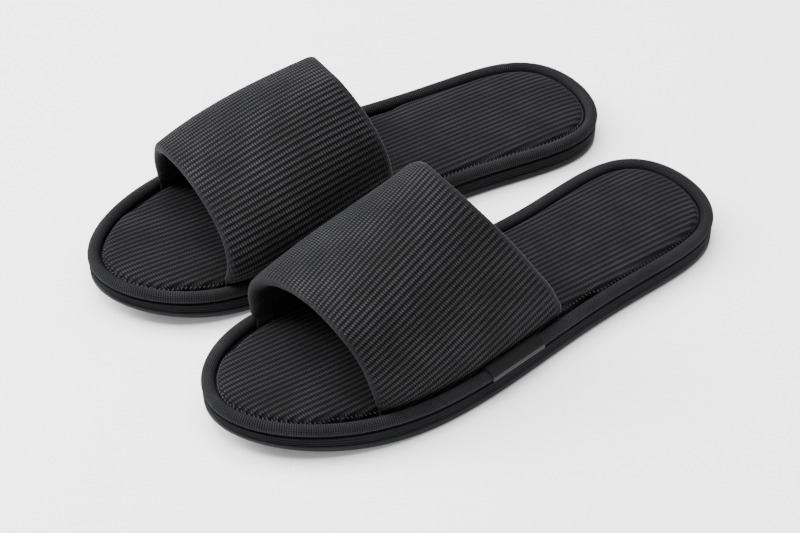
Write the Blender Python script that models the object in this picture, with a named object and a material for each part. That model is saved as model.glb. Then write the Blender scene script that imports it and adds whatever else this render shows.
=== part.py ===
"""A pair of open-toe spa slippers: foam-soled, welted, with a padded band over the instep.

Each slipper is modelled flat and upright about its own middle, toes towards -Y, in metres.
The left one is the pattern and the right one is its mirror image.
"""
import math

import bmesh
import bpy
from mathutils import Matrix, Vector

# Sole outline: an ellipse-like curve with its two sides set apart, seen from above.
LENGTH = 0.280
MEDIAL_HALF = 0.0450
LATERAL_HALF = 0.0556
# Shares of the second and later sine waves that fill the ball and draw in the waist.
MEDIAL_WAVES = (1.0, 0.067, 0.233, -0.091, -0.011)
LATERAL_WAVES = (1.0, 0.050, 0.091, -0.070, 0.008)
STATIONS = 44

# Layers of the sole, counted upwards from the floor.
OUTSOLE_THICK = 0.0046
OUTSOLE_INSET = 0.0006
OUTSOLE_EDGE = 0.0008
WRAP_THICK = 0.0007
WRAP_INSET = 0.0006
WRAP_TURN = 0.0120
BOARD_THICK = 0.0011
MIDSOLE_THICK = 0.0026
GAP = 0.0003

# Tread: straight grooves across the ball and the heel.
TREAD_DEPTH = 0.0012
TREAD_WIDTH = 0.0024
TREAD_PITCH = 0.0100
TREAD_BALL = (-0.100, -0.020)
TREAD_HEEL = (0.070, 0.120)
TREAD_MARGIN = 0.0100

# Welt: a cord covered in knit, standing round the rim.
WELT_RADIUS = 0.00295
WELT_THICK = 0.0006
WELT_SLOT = math.radians(38)
CORD_RADIUS = 0.0020
WELT_STEPS = 7

# Sock: a domed pad in its own knit cover, its edge tucked down beside the welt.
SOCK_GROOVE = 0.0011
SOCK_THICK = 0.0008
SOCK_ROUND = 0.0040
SOCK_CROWN = 0.0012
SOCK_CROWN_REACH = 0.0150
# Steps round the sock's shoulder, and the shares of its crown that carry a ring.
SOCK_ROUND_STEPS = 4
SOCK_CROWN_SHARES = (0.35, 1.0)
THREAD_RADIUS = 0.00022

# Toe spring: the toe curls up off the floor, and the sole thins towards its tip.
SPRING_REACH = 0.090
TOE_RISE = 0.0095
TOE_THINNING = 0.0038

# Upper: where each side of the band enters the seam, measured back from the toe tip.
LATERAL_FRONT = 0.0580
LATERAL_REAR = 0.1660
MEDIAL_FRONT = 0.0475
MEDIAL_REAR = 0.1440
# Height of the band's crest above the welt at its front edge, middle and rear edge.
CREST_FRONT = 0.0415
CREST_MIDDLE = 0.0595
CREST_REAR = 0.0740
# How far the crest lies towards the medial side, and how far it leans back of the seam ends.
CREST_SIDE_FRONT = -0.0060
CREST_SIDE_REAR = 0.0170
CREST_LEAN_FRONT = -0.0050
CREST_LEAN_REAR = -0.0270
# Each side leaves the seam at its own tilt; rise and roof share out the shoulder's roundness.
LATERAL_TILT = math.radians(-8)
LATERAL_RISE = 0.27
LATERAL_ROOF = 0.95
MEDIAL_TILT = math.radians(38)
MEDIAL_RISE = 0.74
MEDIAL_ROOF = 0.55
COVER_THICK = 0.0008
LINING_THICK = 0.0007
BAND_THICK = 0.0056
BAND_SEAM_THICK = 0.0020
BAND_SWELL = 0.0100
BAND_HEM = 0.0100
BAND_FOAM_START = 0.0050
BAND_FOAM_EASE = 0.0009
BAND_ROWS = 22
BAND_COLUMNS = 6
BAND_EDGE_STEPS = 5

# Label: a bare woven tab, folded out of the seam over the welt on the lateral side.
LABEL_FRONT = 0.115
LABEL_LENGTH = 0.033
LABEL_THICK = 0.0005
LABEL_SLACK = 0.0002
LABEL_FLATTEN = 0.00055
# Angles about the welt's middle at which the label's centre line is laid, from the seam out.
LABEL_ANGLES = tuple(math.radians(degrees) for degrees in (38, 66, 92, 118, 145, 170, 190))

# Pair: each slipper turned toes outwards, with a gap between the two, one a little behind.
PAIR_SPREAD = 0.1004
TOE_OUT = math.radians(1.6)
PAIR_STAGGER = 0.0024

# Heights worked out from the layers.
FLANGE_LOW = OUTSOLE_THICK + GAP
FLANGE_HIGH = FLANGE_LOW + WRAP_THICK
BOARD_LOW = FLANGE_HIGH + GAP
BOARD_HIGH = BOARD_LOW + BOARD_THICK
MIDSOLE_LOW = BOARD_HIGH + GAP
MIDSOLE_HIGH = MIDSOLE_LOW + MIDSOLE_THICK
WELT_HEIGHT = MIDSOLE_HIGH + GAP + WELT_RADIUS
RIM_TOP = WELT_HEIGHT + WELT_RADIUS
SEAM_LOW = MIDSOLE_HIGH + GAP
WELT_INNER = 2.0 * WELT_RADIUS
BAND_INSET = WELT_INNER + GAP
SOCK_INSET = WELT_INNER + SOCK_GROOVE
# Room that the sock's edge leaves for the band where the band enters the seam.
SEAM_ROOM = BAND_INSET + BAND_SEAM_THICK + GAP + 2.0 * THREAD_RADIUS + GAP - SOCK_INSET
SEAM_EASE = 0.010
# The room is full one station before the band's ends, where stations stand furthest apart.
SEAM_MARGIN = math.pi * LENGTH / STATIONS

CLOTH_BLACK = (0.030, 0.030, 0.033, 1.0)
CLOTH_DARK = (0.018, 0.018, 0.020, 1.0)
LINING_BLACK = (0.010, 0.010, 0.011, 1.0)
RUBBER_GREY = (0.055, 0.056, 0.062, 1.0)
FOAM_GREY = (0.25, 0.25, 0.26, 1.0)
BOARD_TAN = (0.36, 0.27, 0.18, 1.0)
CORD_WHITE = (0.60, 0.60, 0.58, 1.0)
THREAD_GREY = (0.09, 0.09, 0.10, 1.0)
LABEL_BLACK = (0.022, 0.021, 0.023, 1.0)


def clear_scene():
    """Remove whatever the file opened with."""
    for item in list(bpy.data.objects):
        bpy.data.objects.remove(item, do_unlink=True)


def new_collection(name):
    """Make a collection in the scene."""
    group = bpy.data.collections.new(name)
    bpy.context.scene.collection.children.link(group)
    return group


def finish_material(name, color, roughness):
    """Make one piece's own material."""
    material = bpy.data.materials.new(name)
    material.use_nodes = True
    shader = material.node_tree.nodes["Principled BSDF"]
    shader.inputs["Base Color"].default_value = color
    shader.inputs["Roughness"].default_value = roughness
    shader.inputs["Metallic"].default_value = 0.0
    material.diffuse_color = color
    return material


def smooth(share):
    """Ease from 0 to 1."""
    share = min(1.0, max(0.0, share))
    return share * share * (3.0 - 2.0 * share)


def edge_point(turn):
    """Point of the sole's outer edge; turn runs 0 at the toe, pi at the heel, lateral side first."""
    lateral = turn <= math.pi
    angle = turn if lateral else 2.0 * math.pi - turn
    half = LATERAL_HALF if lateral else MEDIAL_HALF
    waves = LATERAL_WAVES if lateral else MEDIAL_WAVES
    breadth = half * sum(share * math.sin((k + 1) * angle) for k, share in enumerate(waves))
    return Vector((breadth if lateral else -breadth, -0.5 * LENGTH * math.cos(angle), 0.0))


def inward(turn):
    """Unit vector in the floor plane from the edge towards the middle of the sole."""
    step = 0.002
    along = edge_point(min(turn + step, 2.0 * math.pi)) - edge_point(max(turn - step, 0.0))
    if turn < step or turn > 2.0 * math.pi - step:
        along = Vector((1.0, 0.0, 0.0))
    return Vector((-along.y, along.x, 0.0)).normalized()


def turn_at(distance, lateral):
    """Turn whose edge point lies this far back from the toe tip."""
    angle = math.acos(1.0 - 2.0 * distance / LENGTH)
    return angle if lateral else 2.0 * math.pi - angle


def lift(point):
    """Curl a flat point up with the toe."""
    reach = max(0.0, 1.0 - (point.y + 0.5 * LENGTH) / SPRING_REACH)
    share = reach * reach
    low = min(point.z, SEAM_LOW) / SEAM_LOW
    return Vector((point.x, point.y, point.z + share * (TOE_RISE - TOE_THINNING * low)))


def seam_share(turn):
    """1 where the band lies in the seam, easing to 0 beyond its ends."""
    lateral = turn <= math.pi
    front = LATERAL_FRONT if lateral else MEDIAL_FRONT
    rear = LATERAL_REAR if lateral else MEDIAL_REAR
    back = edge_point(turn).y + 0.5 * LENGTH
    rise = smooth((back - front + SEAM_MARGIN + SEAM_EASE) / SEAM_EASE)
    fall = smooth((rear + SEAM_MARGIN + SEAM_EASE - back) / SEAM_EASE)
    return rise * fall


def ring(inset, height, room=0.0):
    """Closed loop of points round the sole at one inset and height."""
    points = []
    for index in range(STATIONS):
        turn = 2.0 * math.pi * index / STATIONS
        depth = inset + room * seam_share(turn)
        flat = edge_point(turn) + inward(turn) * depth
        points.append(lift(Vector((flat.x, flat.y, height))))
    return points


def add_object(name, mesh, group, color, roughness):
    """Wrap a mesh as a named object with its own material."""
    item = bpy.data.objects.new(name, mesh)
    mesh.materials.append(finish_material(name + "_finish", color, roughness))
    group.objects.link(item)
    return item


def loft(name, rows, closed, sole_caps, group, color, roughness):
    """Skin rows of points into one closed body.

    closed joins the last row to the first. Otherwise the ends are capped: with rungs from side
    to side across a sole's ring, or with one flat face on a band's section.
    """
    work = bmesh.new()
    verts = [[work.verts.new(point) for point in row] for row in rows]
    count = len(rows[0])
    bands = len(rows) if closed else len(rows) - 1
    for j in range(bands):
        low = verts[j]
        high = verts[(j + 1) % len(rows)]
        for i in range(count):
            k = (i + 1) % count
            work.faces.new((low[i], low[k], high[k], high[i]))
    if not closed and sole_caps:
        for row in (verts[0], verts[-1]):
            for i in range(count // 2):
                corners = [row[i], row[i + 1], row[count - 1 - i], row[(count - i) % count]]
                work.faces.new(list(dict.fromkeys(corners)))
    if not closed and not sole_caps:
        work.faces.new(verts[0])
        work.faces.new(list(reversed(verts[-1])))
    bmesh.ops.recalc_face_normals(work, faces=work.faces)
    bmesh.ops.triangulate(work, faces=work.faces, quad_method="SHORT_EDGE", ngon_method="EAR_CLIP")
    mesh = bpy.data.meshes.new(name)
    work.to_mesh(mesh)
    work.free()
    mesh.shade_smooth()
    mesh.set_sharp_from_angle(angle=math.radians(35))
    return add_object(name, mesh, group, color, roughness)


def slab(name, inset, low, high, group, color, roughness):
    """Flat layer of the sole with square edges."""
    rows = [ring(inset, low), ring(inset, high)]
    return loft(name, rows, False, True, group, color, roughness)


def cut_tread(item, cutters):
    """Cut the straight grooves out of the outsole's underside, before the toe is curled up."""
    work = bmesh.new()
    for start, stop in (TREAD_BALL, TREAD_HEEL):
        grooves = int((stop - start) / TREAD_PITCH)
        for index in range(grooves):
            middle = start + (index + 0.5) * TREAD_PITCH
            turn = turn_at(middle + 0.5 * LENGTH, True)
            right = edge_point(turn).x - TREAD_MARGIN
            left = edge_point(2.0 * math.pi - turn).x + TREAD_MARGIN
            size = Matrix.Diagonal((right - left, TREAD_WIDTH, 2.0 * TREAD_DEPTH, 1.0))
            place = Matrix.Translation((0.5 * (left + right), middle, 0.0))
            bmesh.ops.create_cube(work, size=1.0, matrix=place @ size)
    mesh = bpy.data.meshes.new(item.name + "_grooves")
    work.to_mesh(mesh)
    work.free()
    cutter = bpy.data.objects.new(mesh.name, mesh)
    cutter.hide_render = True
    cutter.display_type = "WIRE"
    cutters.objects.link(cutter)
    cut = item.modifiers.new("tread", "BOOLEAN")
    cut.operation = "DIFFERENCE"
    cut.solver = "EXACT"
    cut.object = cutter
    graph = bpy.context.evaluated_depsgraph_get()
    carved = bpy.data.meshes.new_from_object(item.evaluated_get(graph))
    item.modifiers.clear()
    item.data = carved
    bpy.data.objects.remove(cutter, do_unlink=True)
    for vertex in carved.vertices:
        vertex.co = lift(vertex.co)


def make_outsole(side, group, cutters):
    """Moulded sole sheet with eased edges and tread beneath."""
    flat = []
    profile = (
        (OUTSOLE_INSET + OUTSOLE_EDGE, 0.0),
        (OUTSOLE_INSET, OUTSOLE_EDGE),
        (OUTSOLE_INSET, OUTSOLE_THICK - OUTSOLE_EDGE),
        (OUTSOLE_INSET + OUTSOLE_EDGE, OUTSOLE_THICK),
    )
    for inset, height in profile:
        row = []
        for index in range(STATIONS):
            turn = 2.0 * math.pi * index / STATIONS
            spot = edge_point(turn) + inward(turn) * inset
            row.append(Vector((spot.x, spot.y, height)))
        flat.append(row)
    item = loft(side + "_outsole", flat, False, True, group, RUBBER_GREY, 0.55)
    cut_tread(item, cutters)
    return item


def make_side_wrap(side, group):
    """Knit strip round the sole's side, turned under the insole board."""
    outer = WRAP_INSET
    inner = WRAP_INSET + WRAP_THICK
    deepest = WELT_RADIUS - inner
    rise = math.sqrt((WELT_RADIUS + GAP) ** 2 - deepest ** 2)
    top = WELT_HEIGHT - rise
    rows = [
        ring(outer, FLANGE_LOW),
        ring(outer, top),
        ring(inner, top),
        ring(inner, FLANGE_HIGH),
        ring(inner + WRAP_TURN, FLANGE_HIGH),
        ring(inner + WRAP_TURN, FLANGE_LOW),
    ]
    return loft(side + "_side_wrap", rows, True, True, group, CLOTH_DARK, 0.9)


def make_welt_cover(side, group):
    """Knit sleeve round the welt cord, with its lips left open along the bottom."""
    start = -0.5 * math.pi + 0.5 * WELT_SLOT
    sweep = 2.0 * math.pi - WELT_SLOT
    inner = WELT_RADIUS - WELT_THICK
    rows = []
    for step in range(WELT_STEPS):
        angle = start + sweep * step / (WELT_STEPS - 1)
        across = WELT_RADIUS * (1.0 + math.cos(angle))
        rows.append(ring(across, WELT_HEIGHT + WELT_RADIUS * math.sin(angle)))
    for step in reversed(range(WELT_STEPS)):
        angle = start + sweep * step / (WELT_STEPS - 1)
        across = WELT_RADIUS + inner * math.cos(angle)
        rows.append(ring(across, WELT_HEIGHT + inner * math.sin(angle)))
    return loft(side + "_welt_cover", rows, True, True, group, CLOTH_BLACK, 0.9)


def tube_round_sole(name, inset, height, radius, sides, room, group, color, roughness):
    """Round cord that runs once round the sole, as a closed curve made a mesh."""
    curve = bpy.data.curves.new(name, "CURVE")
    curve.dimensions = "3D"
    curve.bevel_depth = radius
    curve.bevel_resolution = sides // 2 - 2
    spline = curve.splines.new("POLY")
    points = ring(inset, height, room)
    spline.points.add(len(points) - 1)
    for slot, point in zip(spline.points, points):
        slot.co = (point.x, point.y, point.z, 1.0)
    spline.use_cyclic_u = True
    holder = bpy.data.objects.new(name + "_curve", curve)
    group.objects.link(holder)
    graph = bpy.context.evaluated_depsgraph_get()
    mesh = bpy.data.meshes.new_from_object(holder.evaluated_get(graph))
    mesh.name = name
    bpy.data.objects.remove(holder, do_unlink=True)
    mesh.shade_smooth()
    return add_object(name, mesh, group, color, roughness)


def dome(depth, foot):
    """Profile of the sock from its lower edge to its crown, a given depth under its surface."""
    shoulder = RIM_TOP - SOCK_ROUND + SOCK_THICK - SOCK_CROWN
    middle = SOCK_INSET + SOCK_ROUND
    bend = SOCK_ROUND - depth
    profile = [(SOCK_INSET + depth, foot)]
    for step in range(SOCK_ROUND_STEPS):
        angle = 0.5 * math.pi * step / (SOCK_ROUND_STEPS - 1)
        profile.append((middle - bend * math.cos(angle), shoulder + bend * math.sin(angle)))
    for share in SOCK_CROWN_SHARES:
        rise = SOCK_CROWN * (1.0 - (1.0 - share) ** 2)
        profile.append((middle + share * SOCK_CROWN_REACH, shoulder + bend + rise))
    return profile


def dome_rings(profile):
    """Rings of a dome profile, drawn in where the band passes down beside the sock."""
    reach = SOCK_INSET + SOCK_ROUND
    rows = []
    for inset, height in profile:
        share = 1.0 - smooth((inset - reach) / SOCK_CROWN_REACH)
        rows.append(ring(inset, height, SEAM_ROOM * share))
    return rows


def make_sock_foam(side, group):
    """Soft pad under the sock cover."""
    rows = dome_rings(dome(SOCK_THICK + GAP, SEAM_LOW))
    return loft(side + "_sock_foam", rows, False, True, group, FOAM_GREY, 0.95)


def make_sock_cover(side, group):
    """Rib-knit cover drawn over the pad, open below."""
    rows = list(reversed(dome_rings(dome(0.0, SEAM_LOW))))
    rows += dome_rings(dome(SOCK_THICK, SEAM_LOW))
    return loft(side + "_sock_cover", rows, False, True, group, CLOTH_DARK, 0.92)


def band_ends(share):
    """Seam points of the band on both sides, at a share of the way from front to rear edge."""
    back_lateral = LATERAL_FRONT + (LATERAL_REAR - LATERAL_FRONT) * share
    back_medial = MEDIAL_FRONT + (MEDIAL_REAR - MEDIAL_FRONT) * share
    ends = []
    for back, lateral in ((back_lateral, True), (back_medial, False)):
        turn = turn_at(back, lateral)
        spot = edge_point(turn) + inward(turn) * BAND_INSET
        ends.append((lift(Vector((spot.x, spot.y, RIM_TOP))), inward(turn)))
    return ends


def band_point(share, across):
    """Point of the band's outer face: share runs front to rear, across -1 lateral to +1 medial."""
    (lateral, _), (medial, _) = band_ends(share)
    height = ((1.0 - share) * (1.0 - 2.0 * share) * CREST_FRONT
              + 4.0 * share * (1.0 - share) * CREST_MIDDLE
              + share * (2.0 * share - 1.0) * CREST_REAR)
    crest = 0.5 * (lateral + medial)
    crest.x -= CREST_SIDE_FRONT + (CREST_SIDE_REAR - CREST_SIDE_FRONT) * share
    crest.y += CREST_LEAN_FRONT + (CREST_LEAN_REAR - CREST_LEAN_FRONT) * share
    crest.z += height
    outer = across < 0.0
    foot = lateral if outer else medial
    tilt = LATERAL_TILT if outer else MEDIAL_TILT
    side = 1.0 if outer else -1.0
    grip = height * (LATERAL_RISE if outer else MEDIAL_RISE)
    roof = abs(crest.x - foot.x) * (LATERAL_ROOF if outer else MEDIAL_ROOF)
    first = foot + Vector((side * grip * math.sin(tilt), 0.0, grip * math.cos(tilt)))
    second = crest + Vector((side * roof, 0.0, 0.0))
    t = 1.0 - abs(across)
    return ((1.0 - t) ** 3 * foot + 3.0 * (1.0 - t) ** 2 * t * first
            + 3.0 * (1.0 - t) * t * t * second + t ** 3 * crest)


def band_normal(share, across):
    """Unit vector from the band's outer face into the band."""
    step = 0.01
    low = max(0.0, share - step)
    high = min(1.0, share + step)
    along = band_point(high, across) - band_point(low, across)
    left = max(-1.0, across - step)
    right = min(1.0, across + step)
    over = band_point(share, right) - band_point(share, left)
    return over.cross(along).normalized()


def band_rows(with_tails):
    """Rows over the arch, as functions of the share front to rear: (place, normal, thickness)."""
    rows = []
    steps = [-1.0 + 2.0 * k / BAND_ROWS for k in range(BAND_ROWS + 1)]
    for across in steps:
        rise = band_point(0.5, across).z - RIM_TOP
        swell = smooth(rise / BAND_SWELL)
        thick = BAND_SEAM_THICK + (BAND_THICK - BAND_SEAM_THICK) * swell
        rows.append(("arch", across, thick, rise))
    if with_tails:
        rows.insert(0, ("tail", 0, BAND_SEAM_THICK, 0.0))
        rows.append(("tail", 1, BAND_SEAM_THICK, 0.0))
    return rows


def row_frame(row, share):
    """Place and inward direction on one row of the band."""
    kind, across, _, _ = row
    if kind == "tail":
        top, direction = band_ends(share)[across]
        drop = lift(Vector((top.x, top.y, SEAM_LOW))).z - lift(Vector((top.x, top.y, RIM_TOP))).z
        return top + Vector((0.0, 0.0, drop)), direction
    if abs(across) == 1.0:
        top, direction = band_ends(share)[0 if across < 0.0 else 1]
        return top, direction
    return band_point(share, across), band_normal(share, across)


def band_section(row, profile):
    """Points of a section, given as (distance from the front edge, depth), on one row."""
    front, _ = row_frame(row, 0.0)
    rear, _ = row_frame(row, 1.0)
    width = (rear - front).length
    points = []
    for distance, depth in profile(width, row[2]):
        place, direction = row_frame(row, distance / width)
        points.append(place + direction * depth)
    return points


def turned_edge(centre, thick, skin, front):
    """Half round of a folded edge, from its lower face to its upper face."""
    bend = 0.5 * thick - skin
    side = -1.0 if front else 1.0
    points = []
    for step in range(BAND_EDGE_STEPS):
        angle = math.pi * (step / (BAND_EDGE_STEPS - 1) - 0.5)
        points.append((centre + side * bend * math.cos(angle), 0.5 * thick - bend * math.sin(angle)))
    return points


def folded_path(width, thick, skin):
    """Path from the front hem, round the front edge, over the band and round the rear edge."""
    bend = 0.5 * thick
    path = [(BAND_HEM, thick - skin)]
    path += turned_edge(bend, thick, skin, True)
    path += [(width * k / BAND_COLUMNS, skin) for k in range(1, BAND_COLUMNS)]
    path += reversed(turned_edge(width - bend, thick, skin, False))
    path.append((width - BAND_HEM, thick - skin))
    return path


def cover_profile(width, thick):
    """Section of the knit cover: over the top, with both edges folded under as hems."""
    inside = folded_path(width, thick, COVER_THICK)
    return folded_path(width, thick, 0.0) + list(reversed(inside))


def foam_profile(width, thick):
    """Section of the padding that fills the cover."""
    skin = COVER_THICK + BAND_FOAM_EASE
    bend = 0.5 * thick
    path = turned_edge(bend, thick, skin, True)
    path += [(width * k / BAND_COLUMNS, skin) for k in range(1, BAND_COLUMNS)]
    path += reversed(turned_edge(width - bend, thick, skin, False))
    path += [(width * k / BAND_COLUMNS, thick - skin) for k in range(BAND_COLUMNS - 1, 0, -1)]
    return path


def lining_profile(width, thick):
    """Section of the lining, which closes the band's inner face between the two hems."""
    start = BAND_HEM + GAP
    span = width - 2.0 * start
    shares = [k / BAND_COLUMNS for k in range(BAND_COLUMNS + 1)]
    upper = [(start + span * share, thick - LINING_THICK) for share in shares]
    lower = [(start + span * share, thick) for share in reversed(shares)]
    return upper + lower


def make_upper(side, group):
    """Cover, padding and lining of the band over the instep."""
    full = band_rows(True)
    padded = [row for row in band_rows(False) if row[3] > BAND_FOAM_START]
    jobs = (
        ("_upper_cover", full, cover_profile, CLOTH_BLACK, 0.9),
        ("_upper_foam", padded, foam_profile, FOAM_GREY, 0.95),
        ("_upper_lining", full, lining_profile, LINING_BLACK, 0.95),
    )
    made = []
    for name, rows, profile, color, roughness in jobs:
        sections = [band_section(row, profile) for row in rows]
        made.append(loft(side + name, sections, False, False, group, color, roughness))
    return made


def label_section():
    """Centre line of the label from the seam over the welt: (inset, height) pairs."""
    reach = WELT_RADIUS + GAP + 0.5 * LABEL_THICK
    tall = reach + LABEL_FLATTEN
    line = []
    for angle in LABEL_ANGLES:
        line.append((WELT_RADIUS + (reach + LABEL_SLACK) * math.cos(angle),
                     WELT_HEIGHT + tall * math.sin(angle)))
    return line


def make_label(side, group):
    """Bare label tab; returns it with its fold line's middle and direction towards the toe."""
    line = label_section()
    middle = turn_at(LABEL_FRONT + 0.5 * LABEL_LENGTH, True)
    normal = inward(middle)
    along_seam = Vector((normal.y, -normal.x, 0.0))
    front = edge_point(middle) - along_seam * 0.5 * LABEL_LENGTH
    rear = edge_point(middle) + along_seam * 0.5 * LABEL_LENGTH
    rows = []
    for corner in (front, rear):
        row = []
        for lateral_side in (1.0, -1.0):
            order = range(len(line)) if lateral_side > 0.0 else reversed(range(len(line)))
            for k in order:
                before = line[max(0, k - 1)]
                after = line[min(len(line) - 1, k + 1)]
                along = Vector((after[0] - before[0], after[1] - before[1])).normalized()
                inset = line[k][0] + lateral_side * 0.5 * LABEL_THICK * along.y
                height = line[k][1] - lateral_side * 0.5 * LABEL_THICK * along.x
                spot = corner + normal * inset
                row.append(Vector((spot.x, spot.y, height)))
        rows.append(row)
    item = loft(side + "_label_tab", rows, False, False, group, LABEL_BLACK, 0.7)
    fold = 0.5 * (front + rear) + normal * line[0][0]
    fold.z = line[0][1]
    item.data.transform(Matrix.Translation(-fold))
    item.location = fold
    return item


def make_slipper(side, group, cutters):
    """All of one slipper's pieces, under one empty that stands for the slipper."""
    pieces = [make_outsole(side, group, cutters)]
    pieces.append(make_side_wrap(side, group))
    inside = WRAP_INSET + WRAP_THICK + GAP
    pieces.append(slab(side + "_insole_board", inside, BOARD_LOW, BOARD_HIGH, group, BOARD_TAN, 0.8))
    pieces.append(slab(side + "_midsole_foam", inside, MIDSOLE_LOW, MIDSOLE_HIGH, group,
                       FOAM_GREY, 0.95))
    pieces.append(make_welt_cover(side, group))
    pieces.append(tube_round_sole(side + "_welt_cord", WELT_RADIUS, WELT_HEIGHT, CORD_RADIUS, 6, 0.0,
                                  group, CORD_WHITE, 0.9))
    pieces.append(make_sock_foam(side, group))
    pieces.append(make_sock_cover(side, group))
    thread_inset = SOCK_INSET - GAP - THREAD_RADIUS
    pieces.append(tube_round_sole(side + "_sock_seam_thread", thread_inset,
                                  RIM_TOP - SOCK_ROUND, THREAD_RADIUS, 4, SEAM_ROOM,
                                  group, THREAD_GREY, 0.8))
    pieces += make_upper(side, group)
    pieces.append(make_label(side, group))
    holder = bpy.data.objects.new(side + "_slipper", None)
    group.objects.link(holder)
    for piece in pieces:
        piece.parent = holder
    return holder, pieces


def mirror_pieces(pieces):
    """Turn a left slipper's pieces into a right slipper's."""
    for piece in pieces:
        piece.data.transform(Matrix.Diagonal((-1.0, 1.0, 1.0, 1.0)))
        piece.data.flip_normals()
        piece.location.x = -piece.location.x


def centre_pair(holders, pieces):
    """Move the pair so that its box stands centred on the origin."""
    bpy.context.view_layer.update()
    spots = [item.matrix_world @ vertex.co for item in pieces for vertex in item.data.vertices]
    middle_x = 0.5 * (min(p.x for p in spots) + max(p.x for p in spots))
    middle_y = 0.5 * (min(p.y for p in spots) + max(p.y for p in spots))
    for holder in holders:
        holder.location.x -= middle_x
        holder.location.y -= middle_y
    bpy.context.view_layer.update()


def build():
    """Model both slippers and set them side by side."""
    clear_scene()
    group = new_collection("spa_slippers")
    cutters = new_collection("cutters")
    left, left_pieces = make_slipper("left", group, cutters)
    right, right_pieces = make_slipper("right", group, cutters)
    mirror_pieces(right_pieces)
    left.location = (0.5 * PAIR_SPREAD, 0.0, 0.0)
    right.location = (-0.5 * PAIR_SPREAD, PAIR_STAGGER, 0.0)
    left.rotation_euler = (0.0, 0.0, TOE_OUT)
    right.rotation_euler = (0.0, 0.0, -TOE_OUT)
    centre_pair((left, right), left_pieces + right_pieces)


build()
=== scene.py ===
import math

import bpy
import numpy as np
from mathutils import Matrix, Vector


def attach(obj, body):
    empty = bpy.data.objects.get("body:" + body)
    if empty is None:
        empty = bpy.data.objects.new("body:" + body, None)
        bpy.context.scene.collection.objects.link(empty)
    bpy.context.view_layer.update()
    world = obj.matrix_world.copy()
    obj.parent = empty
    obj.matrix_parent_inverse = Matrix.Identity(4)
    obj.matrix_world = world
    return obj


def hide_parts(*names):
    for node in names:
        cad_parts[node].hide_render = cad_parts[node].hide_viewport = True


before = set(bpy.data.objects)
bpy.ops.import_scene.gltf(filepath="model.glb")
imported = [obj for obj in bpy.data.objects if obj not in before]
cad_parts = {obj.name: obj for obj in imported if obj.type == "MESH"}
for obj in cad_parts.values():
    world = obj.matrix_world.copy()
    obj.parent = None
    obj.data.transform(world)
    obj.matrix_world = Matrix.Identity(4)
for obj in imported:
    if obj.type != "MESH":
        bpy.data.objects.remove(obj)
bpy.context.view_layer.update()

# ---- Studio: pale floor, camera and soft lights -------------------------------------------
# The pair stands on a plain pale floor, lit by large soft boxes from above and from the toe side,
# with two weak ones opposite. The camera looks down over the outer side of the left slipper.
LOOK_AT = Vector((0.0047, -0.0059, 0.0))
CAMERA_AZIMUTH = math.radians(55.4)
CAMERA_ELEVATION = math.radians(40.8)
CAMERA_DISTANCE = 1.348
CAMERA_LENS = 126.5
SENSOR_WIDTH = 36.0
CLIP_START = 0.01
FLOOR_SIZE = 8.0
FLOOR_HEIGHT = -0.0004
WORLD_LIGHT = 0.45
SOFT_BOXES = (
    ("overhead", (-0.3, -0.2, 1.9), 1.8, 126.0),
    ("toe_side", (-1.3, -1.2, 1.3), 1.1, 74.0),
    ("camera_side", (1.5, -1.0, 1.5), 1.4, 5.0),
    ("heel_side", (0.2, 1.8, 1.3), 1.4, 9.0),
)


def set_inputs(node, values):
    """Set a node's constant inputs by name."""
    for name, value in values.items():
        node.inputs[name].default_value = value


def start_finish(name, values):
    """New node material with its shader's numbers set, and its nodes, links and shader."""
    finish = bpy.data.materials.new(name)
    finish.use_nodes = True
    nodes, links = finish.node_tree.nodes, finish.node_tree.links
    set_inputs(nodes["Principled BSDF"], values)
    return finish, nodes, links, nodes["Principled BSDF"]


toward_camera = Vector((
    math.sin(CAMERA_AZIMUTH) * math.cos(CAMERA_ELEVATION),
    -math.cos(CAMERA_AZIMUTH) * math.cos(CAMERA_ELEVATION),
    math.sin(CAMERA_ELEVATION),
))
bpy.ops.object.camera_add(location=LOOK_AT + toward_camera * CAMERA_DISTANCE)
camera = bpy.context.object
camera.rotation_euler = toward_camera.to_track_quat("Z", "Y").to_euler()
camera.data.lens = CAMERA_LENS
camera.data.sensor_width = SENSOR_WIDTH
camera.data.clip_start = CLIP_START
bpy.context.scene.camera = camera

bpy.ops.mesh.primitive_plane_add(size=FLOOR_SIZE, location=(0.0, 0.0, FLOOR_HEIGHT))
floor = bpy.context.object
floor.name = "floor"
floor.data.materials.append(start_finish("floor_paper", {
    "Base Color": (0.97, 0.97, 0.97, 1.0), "Roughness": 0.9, "Specular IOR Level": 0.1,
    "Emission Color": (1.0, 1.0, 1.0, 1.0), "Emission Strength": 0.12,
})[0])

for name, place, size, power in SOFT_BOXES:
    bpy.ops.object.light_add(type="AREA", location=place)
    lamp = bpy.context.object
    lamp.name = name
    lamp.data.shape = "SQUARE"
    lamp.data.size = size
    lamp.data.energy = power
    lamp.rotation_euler = Vector(place).to_track_quat("Z", "Y").to_euler()

world = bpy.data.worlds.new("studio")
world.use_nodes = True
set_inputs(world.node_tree.nodes["Background"],
           {"Color": (1.0, 1.0, 1.0, 1.0), "Strength": WORLD_LIGHT})
bpy.context.scene.world = world

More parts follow.
